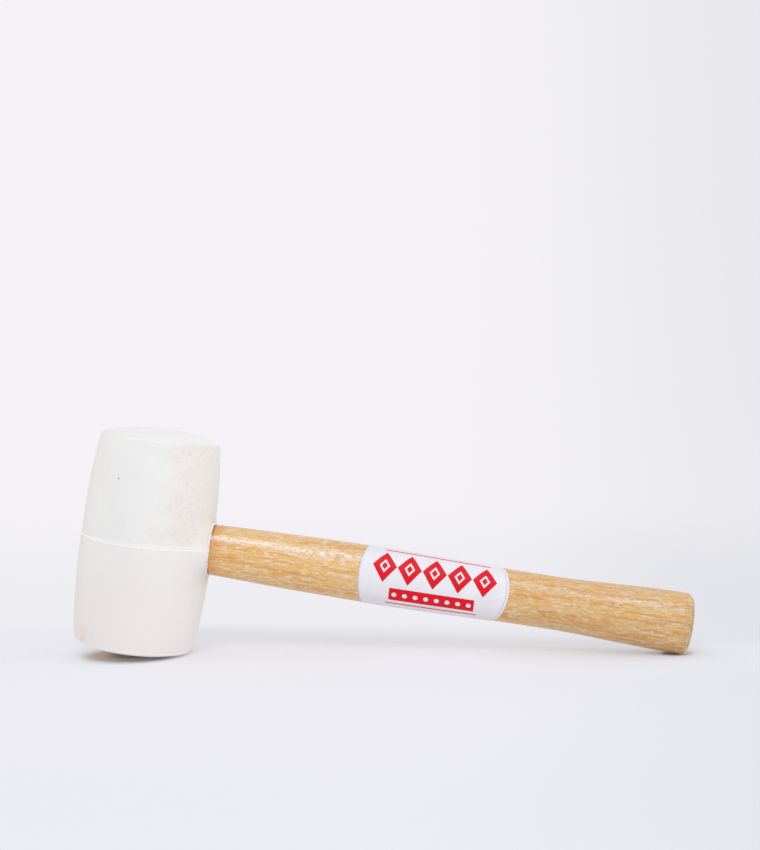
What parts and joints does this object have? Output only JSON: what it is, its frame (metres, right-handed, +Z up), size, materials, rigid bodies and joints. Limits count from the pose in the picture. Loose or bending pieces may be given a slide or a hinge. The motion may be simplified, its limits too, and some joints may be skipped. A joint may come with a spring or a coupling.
{
  "type": "rubber mallet",
  "caption": "Rubber mallet with a barrel-shaped white rubber head wedged on a turned wooden handle with a flared butt, lying on one crowned face of its head and on its butt.",
  "frame": {"origin": "on the surface that the mallet lies on, below the middle of its bounding box", "axes": "+Z up from the surface, +X along the handle from the head to the butt, +Y across the mallet"},
  "size_m": [0.331, 0.0716, 0.1237],
  "materials": {
    "white_rubber": "matte",
    "lacquered_wood": "gloss lacquer",
    "bare_wood": "raw",
    "wedge_steel": "bare",
    "label_paper": "coated"
  },
  "bodies": {
    "root": {"rubber_head": "white_rubber", "handle": "lacquered_wood", "wood_wedge": "bare_wood", "steel_wedge": "wedge_steel", "label": "label_paper"}
  },
  "joints": []
}
